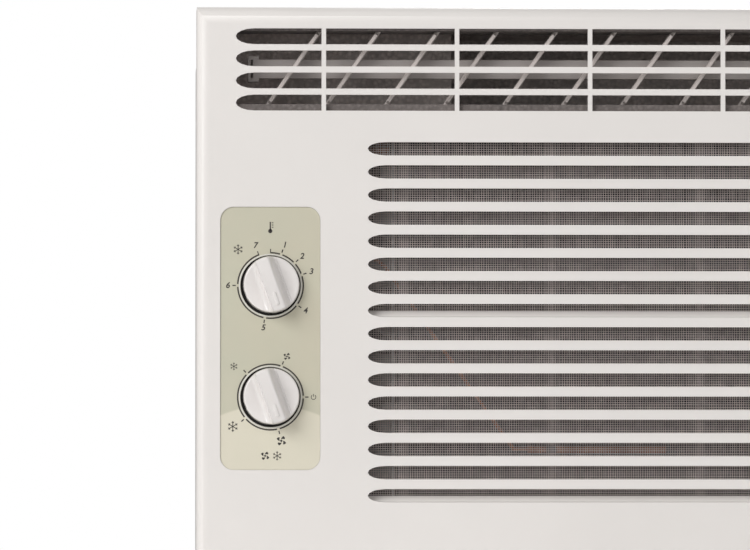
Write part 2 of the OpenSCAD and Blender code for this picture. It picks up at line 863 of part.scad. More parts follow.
module inlet_ring() {
  throat_r = 56;
  color("#2f3134") {
    along_y(scroll_y0 - 4, scroll_y0) difference() {
      translate([scroll_x0, scroll_z0]) square([scroll_x1 - scroll_x0, duct_z0 - scroll_z0 - 1]);
      translate([fan_x, fan_z]) circle(throat_r);
    }
    along_y(scroll_y0 - 4, scroll_y0 + 6) difference() {
      translate([fan_x, fan_z]) circle(throat_r + 2);
      translate([fan_x, fan_z]) circle(throat_r);
    }
  }
}

module discharge_duct() {
  wall = 1.5;
  y1 = scroll_y1;
  outlet_x0 = fan_x - scroll_r;
  outlet_x1 = fan_x - 5;
  rim = 2; // the opening clears the blower's outlet all round
  color("#4a4744") {
    difference() {
      block([-duct_x, duct_y0, duct_z0], [duct_x, y1, duct_z1]);
      block([-duct_x + wall, duct_y0 - 1, duct_z0 + wall], [duct_x - wall, y1 - wall, duct_z1 - wall]);
      block([outlet_x0 - rim, scroll_y0 + 6 - rim, duct_z0 - 1], [outlet_x1 + rim, scroll_y1 - 4 + rim, duct_z0 + 3]);
    }
    // Turning wall that steers the air to the blower's side
    block([-duct_x + wall / 2, -114, duct_z0 + 0.5], [-divider_pitch, -112.5, duct_z1 - 0.5]);
  }
}

module blower_wheel() {
  inner_r = 62;
  blade_l = 14;
  blade_mid = (blower_r + inner_r) / 2;
  color("#26282a") difference() {
    union() {
      rod_y(fan_x, fan_z, wheel_y1 - 2, wheel_y1, blower_r);
      rod_y(fan_x, fan_z, wheel_y1 - 30, wheel_y1, 14);
      along_y(wheel_y0, wheel_y0 + 2) translate([fan_x, fan_z]) difference() {
        circle(blower_r);
        circle(inner_r);
      }
      along_y(wheel_y0 + 1, wheel_y1 - 1) translate([fan_x, fan_z])
        for (i = [0:blower_blades - 1]) rotate(i * 360 / blower_blades)
          translate([blade_mid, 0]) rotate(35) square([blade_l, 0.9], center = true);
    }
    rod_y(fan_x, fan_z, wheel_y0, wheel_y1 + 1, shaft_d / 2);
  }
}

module condenser_fan() {
  blades = 5;
  pitch_angle = 28;
  blade_t = 1.8;
  mid_y = (rear_fan_y0 + rear_fan_y1) / 2;
  ring_t = 2.6;
  color("#26282a") difference() {
    union() {
      rod_y(fan_x, fan_z, rear_fan_y0 + 1, rear_fan_y1 - 1, 22);
      along_y(mid_y - 5, mid_y + 5) translate([fan_x, fan_z]) difference() {
        circle(fan_r);
        circle(fan_r - ring_t);
      }
      for (i = [0:blades - 1]) intersection() {
        rod_y(fan_x, fan_z, rear_fan_y0, rear_fan_y1, fan_r - ring_t / 2);
        translate([fan_x, mid_y, fan_z]) rotate([0, i * 360 / blades, 0]) {
          intersection() {
            along_y(-20, 20) polygon([[-12, 16], [12, 16], [31, 70], [25, fan_r], [-25, fan_r], [-31, 62]]);
            rotate([0, 0, pitch_angle]) block([-60, -blade_t / 2, 0], [60, blade_t / 2, fan_r]);
          }
        }
      }
    }
    rod_y(fan_x, fan_z, rear_fan_y0 - 1, rear_fan_y1 + 1, shaft_d / 2);
  }
}

module fan_motor() {
  boss = 6;
  color("#55585b") difference() {
    union() {
      rod_y(fan_x, fan_z, motor_y0 + 8, motor_y1 - 8, motor_r);
      rod_y(fan_x, fan_z, motor_y0, motor_y1, motor_r - 4);
      rod_y(fan_x, fan_z, motor_y0 - boss, motor_y1 + boss, 12);
    }
    rod_y(fan_x, fan_z, motor_y0 - boss - 1, motor_y1 + boss + 1, shaft_d / 2 + 0.05);
  }
}

module motor_bracket() {
  y0 = motor_y0 + 14;
  y1 = motor_y1 - 14;
  band = 2.4;
  leg = motor_r + 0.1;
  color("#aeb1b2") {
    along_y(y0, y1) difference() {
      translate([fan_x, fan_z]) circle(leg + band);
      translate([fan_x, fan_z]) circle(leg);
    }
    for (s = [-1, 1]) translate([fan_x, 0, 0]) mirror([s < 0 ? 1 : 0, 0, 0]) {
      block([leg + band / 2, y0, pan_sheet], [leg + band / 2 + 2.4, y1, fan_z]);
      block([leg + band / 2, y0, pan_sheet], [leg + 18, y1, 2 * pan_sheet]);
    }
    block([fan_x - leg - band, y0 + 8, 60], [fan_x + leg + band, y0 + 10.4, 82]);
  }
}

module rotor_shaft() {
  color("#c9c9cb") rod_y(fan_x, fan_z, shaft_y0, shaft_y1 + 6, shaft_d / 2);
}

module shaft_nuts() {
  color("#b9bbbd") for (y = [[wheel_y1 - 37, wheel_y1 - 30], [rear_fan_y1 - 1, rear_fan_y1 + 5]])
    difference() {
      translate([fan_x, y[1], fan_z]) rotate([90, 0, 0]) cylinder(r = 7.5, h = y[1] - y[0], $fn = 6);
      rod_y(fan_x, fan_z, y[0] - 1, y[1] + 1, shaft_d / 2);
    }
}

// Control ----------------------------------------------------------------------

box_x0 = -196;
box_x1 = -130;
box_y0 = y_in + 5;
box_y1 = -98;
box_z0 = 50;
box_z1 = 236;

module control_box() {
  wall = 1.2;
  color("#b4b6b6") difference() {
    block([box_x0, box_y0, box_z0], [box_x1, box_y1, box_z1]);
    block([box_x0 + wall, box_y0 + wall, box_z0 + wall], [box_x1 - wall, box_y1 + 1, box_z1 - wall]);
    for (z = dial_z) rod_y(dial_x, z, box_y0 - 1, box_y0 + wall + 1, 6);
  }
}

// A switch body behind the control box's front, with a bushing through it
module dial_device(z, half, depth) {
  y0 = box_y0 + 1.2;
  difference() {
    union() {
      block([dial_x - half, y0, z - half], [dial_x + half, y0 + depth, z + half]);
      rod_y(dial_x, z, box_y0 - 2, y0, 5.9);
    }
    rod_y(dial_x, z, box_y0 - 3, y_in + 20.2, spindle_r + 0.05);
  }
}

module thermostat() {
  color("#d8d2b8") dial_device(dial_z[0], 19, 30);
}

module mode_switch() {
  color("#d0cdc4") dial_device(dial_z[1], 17, 26);
}

// Sensing tube that crosses the front of the evaporator behind the filter
module thermostat_bulb() {
  y = filter_y1 + 2.6;
  color("#b87a4b") {
    pipe([[-127, y, 186], [-106, y, 171.5], [-39, y, 76.6], [-30, y, 76.6]], cap_r, 8);
    rod([-32, y, 76.6], [40, y, 76.6], 2);
  }
}

module capacitor() {
  color("#c9cdd0") {
    translate([dial_x, -121, box_z0 + 1.2]) cylinder(r = 19, h = 62);
    for (s = [-1, 1]) translate([dial_x + s * 7 - 3, -121.4, box_z0 + 63.2]) cube([6, 0.8, 9]);
  }
}

// Assembly ---------------------------------------------------------------------

front_panel();
control_plate();
temperature_knob();
temperature_spindle();
mode_knob();
mode_spindle();
louvre_frame();
vane_01();
vane_02();
vane_03();
vane_04();
vane_05();
vane_06();
vane_07();
vane_08();
vane_09();
vane_10();
vane_11();
vane_link();
filter_frame();
filter_mesh();
panel_screws();
cabinet();
base_pan();
partition();
fan_shroud();
cabinet_screws();
cord_gland();
compressor();
accumulator();
terminal_cover();
compressor_grommets();
compressor_bolts();
evaporator_fins();
evaporator_tubes();
evaporator_plates();
drip_tray();
condenser_fins();
condenser_tubes();
condenser_plates();
discharge_pipe();
suction_pipe();
capillary_tube();
filter_drier();
blower_housing();
inlet_ring();
discharge_duct();
blower_wheel();
condenser_fan();
fan_motor();
motor_bracket();
rotor_shaft();
shaft_nuts();
control_box();
thermostat();
thermostat_bulb();
mode_switch();
capacitor();
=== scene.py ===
"""Window air conditioner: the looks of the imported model, in metres, in the model's own frame."""
import json
import math
import random

import bmesh
import bpy
from mathutils import Matrix, Vector


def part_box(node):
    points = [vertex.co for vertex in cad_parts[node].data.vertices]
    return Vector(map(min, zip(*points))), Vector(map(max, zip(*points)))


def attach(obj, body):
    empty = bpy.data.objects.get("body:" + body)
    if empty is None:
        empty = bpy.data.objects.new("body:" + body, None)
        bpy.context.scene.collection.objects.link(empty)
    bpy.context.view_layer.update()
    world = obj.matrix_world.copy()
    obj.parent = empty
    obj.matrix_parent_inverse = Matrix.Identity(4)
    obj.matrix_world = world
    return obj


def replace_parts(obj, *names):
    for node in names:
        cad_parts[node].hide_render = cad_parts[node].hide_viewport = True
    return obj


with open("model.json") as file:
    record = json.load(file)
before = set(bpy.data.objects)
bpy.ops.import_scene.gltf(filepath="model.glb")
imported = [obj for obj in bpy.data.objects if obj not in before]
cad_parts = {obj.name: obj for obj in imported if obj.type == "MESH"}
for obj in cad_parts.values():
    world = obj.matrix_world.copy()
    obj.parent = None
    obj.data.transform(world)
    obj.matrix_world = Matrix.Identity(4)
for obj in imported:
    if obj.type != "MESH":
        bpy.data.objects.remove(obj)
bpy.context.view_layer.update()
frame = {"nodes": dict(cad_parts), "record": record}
nodes = frame["nodes"]
MM = 0.001  # everything below is in metres


# Materials ---------------------------------------------------------------------

class Surface:
    """A Principled material with procedural colour, roughness and bump in object space."""

    def __init__(self, name, color, rough, metallic=0.0, **fixed):
        self.mat = bpy.data.materials.new(name)
        self.mat.use_nodes = True
        self.tree = self.mat.node_tree
        self.shader = self.tree.nodes["Principled BSDF"]
        self.shader.inputs["Base Color"].default_value = (*color, 1.0)
        self.shader.inputs["Roughness"].default_value = rough
        self.shader.inputs["Metallic"].default_value = metallic
        for socket, value in fixed.items():
            self.shader.inputs[socket.replace("_", " ")].default_value = value
        self.color = color
        self.rough = rough
        self.coords = self.node("ShaderNodeTexCoord").outputs["Object"]
        self.last_normal = None

    def node(self, kind, **props):
        made = self.tree.nodes.new(kind)
        for key, value in props.items():
            setattr(made, key, value)
        return made

    def link(self, a, b):
        self.tree.links.new(a, b)

    def stretched(self, scale):
        """Object coordinates scaled along each axis."""
        mapping = self.node("ShaderNodeMapping")
        mapping.inputs["Scale"].default_value = scale
        self.link(self.coords, mapping.inputs["Vector"])
        return mapping.outputs["Vector"]

    def noise(self, scale, detail=4.0, stretch=None, roughness=0.55):
        made = self.node("ShaderNodeTexNoise")
        made.inputs["Scale"].default_value = scale
        made.inputs["Detail"].default_value = detail
        made.inputs["Roughness"].default_value = roughness
        self.link(self.stretched(stretch) if stretch else self.coords, made.inputs["Vector"])
        return made.outputs["Fac"]

    def cells(self, scale, output="Distance"):
        made = self.node("ShaderNodeTexVoronoi", feature="F1")
        made.inputs["Scale"].default_value = scale
        self.link(self.coords, made.inputs["Vector"])
        return made.outputs[output]

    def spread(self, value, low, high, from_low=0.3, from_high=0.7):
        """A value stretched from one range to another, and held at its ends."""
        made = self.node("ShaderNodeMapRange")
        made.inputs["From Min"].default_value = from_low
        made.inputs["From Max"].default_value = from_high
        made.inputs["To Min"].default_value = low
        made.inputs["To Max"].default_value = high
        self.link(value, made.inputs["Value"])
        return made.outputs["Result"]

    def mixed(self, factor, a, b):
        """The mix of two colours, each given as a tuple or as a socket."""
        made = self.node("ShaderNodeMix", data_type="RGBA")
        self.link(factor, made.inputs["Factor"])
        colours = [socket for socket in made.inputs if socket.type == "RGBA"]
        for socket, value in zip(colours, (a, b)):
            if isinstance(value, tuple):
                socket.default_value = (*value, 1.0)
            else:
                self.link(value, socket)
        return next(socket for socket in made.outputs if socket.type == "RGBA")

    def tint(self, factor, other):
        """Blends the base colour towards another colour by a 0 to 1 factor."""
        socket = self.shader.inputs["Base Color"]
        current = socket.links[0].from_socket if socket.is_linked else self.color
        self.link(self.mixed(factor, current, other), socket)
        return self

    def vary_rough(self, value, amount):
        """Lets the roughness wander by an amount each way."""
        self.link(self.spread(value, self.rough - amount, self.rough + amount),
                  self.shader.inputs["Roughness"])
        return self

    def bump(self, value, depth, strength=1.0):
        """Adds a bump, in metres, on top of any that came before."""
        made = self.node("ShaderNodeBump")
        made.inputs["Strength"].default_value = strength
        made.inputs["Distance"].default_value = depth
        self.link(value, made.inputs["Height"])
        if self.last_normal:
            self.link(self.last_normal, made.inputs["Normal"])
        self.last_normal = made.outputs["Normal"]
        self.link(self.last_normal, self.shader.inputs["Normal"])
        return self


def shade(color, k):
    """A colour made darker or lighter by a factor."""
    return tuple(min(1.0, c * k) for c in color)


def moulded(name, color, rough, grain=0.00004, grain_scale=900.0, **fixed):
    """Injection-moulded plastic: faint flow marks, a fine spark-eroded grain and handling haze."""
    s = Surface(name, color, rough, **fixed)
    flow = s.noise(9.0, 3.0)
    s.tint(s.spread(flow, 0.0, 1.0), shade(color, 0.965))
    s.vary_rough(s.noise(60.0, 5.0), rough * 0.16)
    s.bump(s.noise(grain_scale, 2.0), grain, 0.35)
    return s


def rolled_metal(name, color, rough, stretch, metallic=1.0):
    """Drawn or rolled metal with fine lines along one way."""
    s = Surface(name, color, rough, metallic)
    lines = s.noise(420.0, 3.0, stretch)
    s.tint(s.spread(lines, 0.0, 1.0), shade(color, 0.82))
    s.vary_rough(s.noise(35.0, 4.0), rough * 0.3)
    s.bump(lines, 0.00002, 0.4)
    return s


def galvanised(name):
    """Zinc-coated sheet with crystal spangle."""
    s = Surface(name, (0.50, 0.51, 0.52), 0.42, 0.9)
    spangle = s.cells(130.0, "Color")
    grey = s.node("ShaderNodeRGBToBW")
    s.link(spangle, grey.inputs["Color"])
    s.tint(s.spread(grey.outputs["Val"], 0.0, 1.0, 0.1, 0.9), (0.36, 0.37, 0.385))
    s.vary_rough(grey.outputs["Val"], 0.12)
    s.bump(s.noise(300.0, 3.0), 0.00003, 0.3)
    return s


def painted(name, color, rough, peel=0.00005):
    """Baked enamel with a light orange peel and dust in its hollows."""
    s = Surface(name, color, rough, 0.0, Coat_Weight=0.15, Coat_Roughness=0.3)
    s.tint(s.spread(s.noise(7.0, 4.0), 0.0, 1.0), shade(color, 0.93))
    s.vary_rough(s.noise(45.0, 4.0), rough * 0.2)
    s.bump(s.noise(650.0, 2.0), peel, 0.4)
    return s


def copper_tube(name):
    """Drawn copper with dark tarnish in clouds."""
    s = Surface(name, (0.50, 0.245, 0.145), 0.32, 1.0)
    tarnish = s.noise(55.0, 6.0)
    s.tint(s.spread(tarnish, 0.0, 0.85, 0.42, 0.68), (0.20, 0.095, 0.06))
    s.vary_rough(tarnish, 0.13)
    s.bump(s.noise(500.0, 2.0), 0.00003, 0.3)
    return s


def foam_lining(name, color):
    """Open-cell insulation: a crumbed surface, with painted shade in its pits."""
    s = Surface(name, color, 0.85)
    crumbs_and_pit_shade = s.cells(420.0)
    # Painted shade: darker away from each cell's middle, where the bump sinks the surface into pits
    s.tint(s.spread(crumbs_and_pit_shade, 0.0, 0.8, 0.2, 0.6), shade(color, 0.55))
    s.tint(s.spread(s.noise(30.0, 4.0), 0.0, 0.5), shade(color, 1.25))
    s.bump(crumbs_and_pit_shade, -0.0006, 0.9)
    return s


def beaded_foam(name):
    """Moulded bead foam, with a sunken seam round each bead and painted shade in the seams."""
    s = Surface(name, (0.82, 0.82, 0.80), 0.72)
    beads_and_seam_shade = s.cells(330.0)
    # Painted shade: darker towards each bead's edge, where the bump sinks the seam
    s.tint(s.spread(beads_and_seam_shade, 0.0, 1.0, 0.25, 0.6), (0.66, 0.66, 0.64))
    s.bump(beads_and_seam_shade, -0.0004, 0.8)
    return s


def control_film(name, centre, radius, edge=0.001):
    """Printed film on the control plate: sage above, and paler inside a wide arc below."""
    s = Surface(name, (0.575, 0.54, 0.425), 0.42, Coat_Weight=0.1, Coat_Roughness=0.35)
    s.tint(s.spread(s.noise(24.0, 3.0), 0.0, 0.6), (0.53, 0.53, 0.42))
    offset = s.node("ShaderNodeVectorMath", operation="MULTIPLY")
    offset.inputs[1].default_value = (1.0, 0.0, 1.0)
    s.link(s.coords, offset.inputs[0])
    reach = s.node("ShaderNodeVectorMath", operation="DISTANCE")
    reach.inputs[1].default_value = (centre[0], 0.0, centre[1])
    s.link(offset.outputs["Vector"], reach.inputs[0])
    inside = s.spread(reach.outputs["Value"], 1.0, 0.0, radius - 0.8 * edge, radius + 0.2 * edge)
    s.tint(inside, (0.70, 0.66, 0.54))
    s.bump(s.noise(1100.0, 2.0), 0.00002, 0.3)
    return s


def woven(name, color):
    """Fine synthetic thread."""
    s = Surface(name, color, 0.55, Sheen_Weight=0.2)
    s.tint(s.spread(s.noise(150.0, 4.0), 0.0, 1.0), shade(color, 0.7))
    s.bump(s.noise(2400.0, 2.0), 0.00005, 0.5)
    return s


def rubbery(name, color):
    """Matt rubber with a paler bloom."""
    s = Surface(name, color, 0.6)
    s.tint(s.spread(s.noise(80.0, 4.0), 0.0, 0.7), shade(color, 1.9))
    s.vary_rough(s.noise(30.0, 3.0), 0.12)
    s.bump(s.noise(700.0, 3.0), 0.00006, 0.5)
    return s


def ink(name, color):
    """Screen-printed ink."""
    s = Surface(name, color, 0.45)
    s.tint(s.spread(s.noise(400.0, 3.0), 0.0, 0.5), shade(color, 1.7))
    s.bump(s.noise(1500.0, 2.0), 0.00001, 0.3)
    return s


# The paler field on the control plate, bounded by an arc
plate_lo, plate_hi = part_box("control_plate")
arc_radius = 66 * MM
arc_top = plate_lo.z + 33.5 * MM
arc_centre = ((plate_lo.x + plate_hi.x) / 2, arc_top - arc_radius)

# How metal's fine lines are stretched along Z
UPRIGHT_LINES = (1.0, 1.0, 0.08)

looks = {
    "panel_plastic": moulded("panel_plastic", (0.80, 0.768, 0.742), 0.4, Specular_IOR_Level=0.4),
    "plate_film": control_film("plate_film", arc_centre, arc_radius),
    "knob_plastic": moulded("knob_plastic", (0.80, 0.765, 0.745), 0.2, 0.00001, 500.0, Coat_Weight=0.5,
                            Coat_Roughness=0.12),
    "bright_steel": rolled_metal("bright_steel", (0.62, 0.62, 0.63), 0.3, (1.0, 0.12, 1.0)),
    "louvre_frame_plastic": foam_lining("louvre_frame_plastic", (0.17, 0.148, 0.14)),
    "link_plastic": moulded("link_plastic", (0.42, 0.385, 0.37), 0.5),
    "vane_plastic": moulded("vane_plastic", (0.66, 0.60, 0.57), 0.45),
    "filter_plastic": moulded("filter_plastic", (0.15, 0.132, 0.127), 0.5),
    "filter_net": woven("filter_net", (0.74, 0.66, 0.63)),
    "case_paint": painted("case_paint", (0.60, 0.585, 0.555), 0.42),
    "galvanised_steel": galvanised("galvanised_steel"),
    "black_plastic": moulded("black_plastic", (0.03, 0.03, 0.032), 0.5),
    "black_rubber": rubbery("black_rubber", (0.022, 0.022, 0.024)),
    "black_paint": painted("black_paint", (0.014, 0.014, 0.015), 0.3, 0.00008),
    "fin_aluminium": rolled_metal("fin_aluminium", (0.55, 0.56, 0.57), 0.4, UPRIGHT_LINES),
    # Painted shade: the front coil's fins are near black for the shadow they sit in behind the front panel
    "coated_aluminium": rolled_metal("coated_aluminium", (0.055, 0.055, 0.058), 0.5, UPRIGHT_LINES, 0.6),
    "copper": copper_tube("copper"),
    "tray_plastic": moulded("tray_plastic", (0.70, 0.69, 0.65), 0.45),
    "white_foam": beaded_foam("white_foam"),
    "duct_plastic": foam_lining("duct_plastic", (0.80, 0.73, 0.70)),
    "motor_paint": painted("motor_paint", (0.09, 0.095, 0.10), 0.35),
    "switch_plastic": moulded("switch_plastic", (0.55, 0.50, 0.38), 0.4),
    "can_aluminium": rolled_metal("can_aluminium", (0.68, 0.69, 0.70), 0.28, (1.0, 1.0, 0.1)),
}
# Finishes that the slots don't tell apart: printing, and painted shade for the gaps round the knobs and for
# the front coil's tubes
print_ink = ink("print_ink", (0.035, 0.03, 0.028))
# Near black: painted shade for the gaps round the knobs
knob_gap_painted_shade = rubbery("knob_gap_painted_shade", (0.006, 0.005, 0.005))
# Painted shade: the front coil's tubes are near black for the shadow behind the front panel
front_coil_painted_shade = painted("front_coil_painted_shade", (0.05, 0.045, 0.043), 0.5)


# Mesh helpers ------------------------------------------------------------------

def finish_piece(name, bm, body, slot, smooth=True, angle=35.0, mat=None):
    """Turns a bmesh into a piece that rides on a body and wears the finish of one of the record's slots, or
    the finish it is given instead.
    """
    bmesh.ops.remove_doubles(bm, verts=bm.verts, dist=1e-7)
    bmesh.ops.recalc_face_normals(bm, faces=bm.faces)
    mesh = bpy.data.meshes.new(name)
    bm.to_mesh(mesh)
    bm.free()
    piece = bpy.data.objects.new(name, mesh)
    bpy.context.scene.collection.objects.link(piece)
    if smooth:
        mesh.shade_smooth()
        mesh.set_sharp_from_angle(angle=math.radians(angle))
    mesh.materials.append(mat.mat if mat else looks[slot].mat)
    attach(piece, body)
    return piece


def soften(obj, width, segments=2, angle=40.0):
    """Rounds an object's sharp edges without touching its own vertices."""
    weld = obj.modifiers.new("weld", "WELD")
    weld.merge_threshold = 1e-6
    bevel = obj.modifiers.new("round", "BEVEL")
    bevel.width = width
    bevel.segments = segments
    bevel.limit_method = "ANGLE"
    bevel.angle_limit = math.radians(angle)
    bevel.harden_normals = True
    bevel.miter_outer = "MITER_ARC"


def ring_of(bm, points):
    """Vertices at a list of points."""
    return [bm.verts.new(p) for p in points]


def bridge(bm, a, b, closed=True):
    """Quads between two equal rows of vertices."""
    count = len(a)
    for i in range(count if closed else count - 1):
        j = (i + 1) % count
        bm.faces.new((a[i], a[j], b[j], b[i]))


def lathe(bm, profile, centre, steps=64, capped=(True, True)):
    """Turns (radius, y) points about a line along Y through centre."""
    rows = []
    for radius, y in profile:
        rows.append(ring_of(bm, [
            (centre.x + radius * math.sin(2 * math.pi * k / steps), y,
             centre.z + radius * math.cos(2 * math.pi * k / steps)) for k in range(steps)]))
    for a, b in zip(rows, rows[1:]):
        bridge(bm, a, b)
    if capped[0]:
        bm.faces.new(rows[0])
    if capped[1]:
        bm.faces.new(reversed(rows[-1]))
    return rows


def prism(bm, outline, y0, y1):
    """A flat outline in X and Z, given thickness from y0 to y1."""
    front = ring_of(bm, [(x, y0, z) for x, z in outline])
    back = ring_of(bm, [(x, y1, z) for x, z in outline])
    bridge(bm, front, back)
    bm.faces.new(front)
    bm.faces.new(reversed(back))


def thread(bm, start, end, across, up):
    """A fine four-sided strand between two points, with its two half-widths."""
    rows = []
    for p in (start, end):
        rows.append(ring_of(bm, [p + across, p + up, p - across, p - up]))
    bridge(bm, rows[0], rows[1])
    bm.faces.new(rows[0])
    bm.faces.new(reversed(rows[1]))


def polar(centre, radius, clock):
    """The X and Z of a point on a dial, with the angle clockwise from the top in degrees."""
    a = math.radians(clock)
    return centre[0] + radius * math.sin(a), centre[1] + radius * math.cos(a)


# CAD parts that keep their shape -------------------------------------------------

for entry in frame["record"]["subparts"]:
    obj = nodes[entry["node"]]
    obj.data.materials.clear()
    obj.data.materials.append(looks[entry["material_slot"]].mat)
# The front coil's tubes take the near-black painted shade
nodes["evaporator_tubes"].data.materials[0] = front_coil_painted_shade.mat

# How far each part's edges are rounded, in millimetres
edge_rounds = {
    "control_plate": 0.15, "louvre_frame": 0.25, "filter_frame": 0.3, "cabinet": 0.2, "base_pan": 0.3,
    "partition": 0.25, "fan_shroud": 0.4, "compressor": 0.8, "accumulator": 0.6, "terminal_cover": 0.8,
    "drip_tray": 0.4, "blower_housing": 1.0, "inlet_ring": 0.5, "discharge_duct": 0.3, "fan_motor": 1.5,
    "motor_bracket": 0.3, "control_box": 0.25, "thermostat": 0.8, "mode_switch": 0.8, "capacitor": 1.0,
    "cord_gland": 0.4, "rotor_shaft": 0.4,
}
edge_rounds.update({name: 0.3 for name in nodes if name.startswith("vane_")})
soften(nodes["front_panel"], 0.45 * MM, 3)
for name, width in edge_rounds.items():
    soften(nodes[name], width * MM)


# Knobs --------------------------------------------------------------------------

KNOB_TURN = Matrix.Rotation(math.radians(-20), 3, "Y")
CREST = 4.0 * MM
CREASE = 6.5 * MM
ROLL_START = 2.2 * MM


def knob_height(u, v, radius):
    """How far the knob's front stands off its rim plane; u runs across the grip, v along it."""
    along = (v / radius) ** 2
    top = 11.6 * MM - 1.4 * MM * along
    shoulder = 3.9 * MM + 2.4 * MM * along + 0.5 * MM * (abs(u) - CREASE) / (radius - CREASE)
    if u < -CREST:
        # Left of the grip: a crisp crest, then a wall that runs out into the shoulder
        wall_end = CREASE + 0.4 * MM
        t = min(1.0, (-u - CREST) / (wall_end - CREST))
        height = top + (shoulder - top) * (1 - (1 - t) ** 2) ** 0.85
    elif u > ROLL_START:
        # Right of the grip: a soft roll-over down to a crease
        t = min(1.0, (u - ROLL_START) / (CREASE - ROLL_START))
        height = top + (shoulder - top) * t * t * (3 - 2 * t)
    else:
        height = top
    for middle, rise in ((-CREST, 0.2), (CREASE, 0.34)):
        height += rise * MM * math.exp(-((u - middle) / (0.3 * MM)) ** 2)
    edge = 0.9 * MM
    inset = radius - math.hypot(u, v)
    if inset < edge:
        height -= edge - math.sqrt(max(0.0, edge ** 2 - (edge - inset) ** 2))
    return height


def knob_point(centre, face, radius, u, v, rise=0.0):
    """A point on the knob's front, or a little above it."""
    p = KNOB_TURN @ Vector((u, 0.0, v))
    return centre.x + p.x, face - knob_height(u, v, radius) - rise, centre.z + p.z


def knob_shell(name, body, centre, face, back, radius):
    """The knob's front as a grid of points, its rim and its flat back."""
    # Columns of points across the grip, closer together at the crest and at the crease
    across = {radius * k / 20 for k in range(-19, 20)} | {-radius * 0.985, radius * 0.985}
    for middle in (-CREST, CREASE):
        across |= {middle + 0.15 * MM * k for k in range(-6, 7)}
    steps = 44
    bm = bmesh.new()
    columns = []
    for u in sorted({round(u, 5) for u in across}):
        half = math.sqrt(radius ** 2 - u ** 2)
        columns.append(ring_of(bm, [
            knob_point(centre, face, radius, u, -half * math.cos(math.pi * j / steps))
            for j in range(steps + 1)]))
    for a, b in zip(columns, columns[1:]):
        bridge(bm, a, b, closed=False)
    rim = [column[-1] for column in columns] + list(reversed(columns[-1][:-1]))
    rim += [column[0] for column in reversed(columns[:-1])] + columns[0][1:-1]
    rows = [rim]
    for grow, drop in ((0.15, 1.2), (0.35, 3.2)):
        scale = 1 + grow * MM / radius
        rows.append(ring_of(bm, [(
            centre.x + (v.co.x - centre.x) * scale,
            min(v.co.y + drop * MM, back),
            centre.z + (v.co.z - centre.z) * scale) for v in rim]))
    rows.append(ring_of(bm, [(v.co.x, back, v.co.z) for v in rows[-1]]))
    for a, b in zip(rows, rows[1:]):
        bridge(bm, a, b)
    bm.faces.new(rows[-1])
    return finish_piece(name, bm, body, "knob_plastic", angle=50)


def knob_pointer(name, body, centre, face, radius):
    """The raised lozenge near the lower end of the grip."""
    length, width, steps = 2.6 * MM, 1.0 * MM, 10
    aside, down = 0.6 * MM, 7.6 * MM
    angles = [math.pi * k / steps for k in range(steps + 1)]
    outline = [(width * math.cos(a), length + width * math.sin(a)) for a in angles]
    outline += [(-x, -z) for x, z in outline]
    bm = bmesh.new()
    rings = []
    for scale, rise in ((1.0, -0.5), (1.0, 0.15), (0.9, 0.38), (0.7, 0.45)):
        rings.append(ring_of(bm, [
            knob_point(centre, face, radius, x * scale - aside, z * (0.9 + 0.1 * scale) - down, rise * MM)
            for x, z in outline]))
    for a, b in zip(rings, rings[1:]):
        bridge(bm, a, b)
    bm.faces.new(rings[-1])
    bm.faces.new(reversed(rings[0]))
    finish_piece(name, bm, body, "knob_plastic", angle=50)


def grip_knob(name, node, body):
    lo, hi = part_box(node)
    centre = Vector(((lo.x + hi.x) / 2, 0.0, (lo.z + hi.z) / 2))
    radius = (hi.x - lo.x) / 2 - 0.35 * MM
    face = lo.y + 12 * MM
    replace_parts(knob_shell(name, body, centre, face, hi.y, radius), node)
    knob_pointer(name + "_pointer", body, centre, face, radius)


grip_knob("temperature_knob_grip", "temperature_knob", "temperature_dial")
grip_knob("mode_knob_grip", "mode_knob", "mode_dial")


# Printing and collars on the control plate -----------------------------------------

def dial_centre(node):
    lo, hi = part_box(node)
    return (lo.x + hi.x) / 2, (lo.z + hi.z) / 2


spindle_lean = (0.45 * MM, 0.35 * MM)
temperature_at = tuple(a - b for a, b in zip(dial_centre("temperature_spindle"), spindle_lean))
mode_at = tuple(a - b for a, b in zip(dial_centre("mode_spindle"), spindle_lean))
ink_y1 = plate_lo.y
ink_y0 = plate_lo.y - 0.05 * MM


def arc(bm, centre, radius, width, start, end):
    """A printed arc, clockwise from start to end in degrees."""
    steps = max(2, int((end - start) / 3))
    angles = [start + (end - start) * k / steps for k in range(steps + 1)]
    outline = [polar(centre, radius + width / 2, a) for a in angles]
    outline += [polar(centre, radius - width / 2, a) for a in reversed(angles)]
    for k in range(steps):
        quad = [outline[k], outline[k + 1], outline[-2 - k], outline[-1 - k]]
        prism(bm, quad, ink_y0, ink_y1)


def stroke(bm, a, b, width):
    """A printed straight line between two points."""
    ax, az = a
    bx, bz = b
    run = math.hypot(bx - ax, bz - az)
    nx, nz = -(bz - az) / run * width / 2, (bx - ax) / run * width / 2
    corners = [(ax + nx, az + nz), (bx + nx, bz + nz), (bx - nx, bz - nz), (ax - nx, az - nz)]
    prism(bm, corners, ink_y0, ink_y1)


def dial_ring(bm, centre, stops, ends=None):
    """The ring round a knob, broken at each stop, with a tick at each."""
    radius, width, gap = 16.9 * MM, 0.75 * MM, 2.4
    marks = sorted(stops)
    if ends:
        spans = list(zip([ends[0]] + marks, marks + [ends[1]]))
    else:
        spans = list(zip(marks, marks[1:] + [marks[0] + 360]))
    for a, b in spans:
        start = a if ends and a == ends[0] else a + gap
        end = b if ends and b == ends[1] else b - gap
        if end > start:
            arc(bm, centre, radius, width, start, end)
    for a in marks:
        stroke(bm, polar(centre, 17.9 * MM, a), polar(centre, 19.6 * MM, a), 0.6 * MM)


def snowflake(bm, centre, size):
    """A six-armed frost sign."""
    for k in range(6):
        a = 60 * k
        tip = polar(centre, size, a)
        stroke(bm, centre, tip, size * 0.13)
        fork = polar(centre, size * 0.62, a)
        for side in (-1, 1):
            stroke(bm, fork, polar(fork, size * 0.3, a + side * 48), size * 0.12)


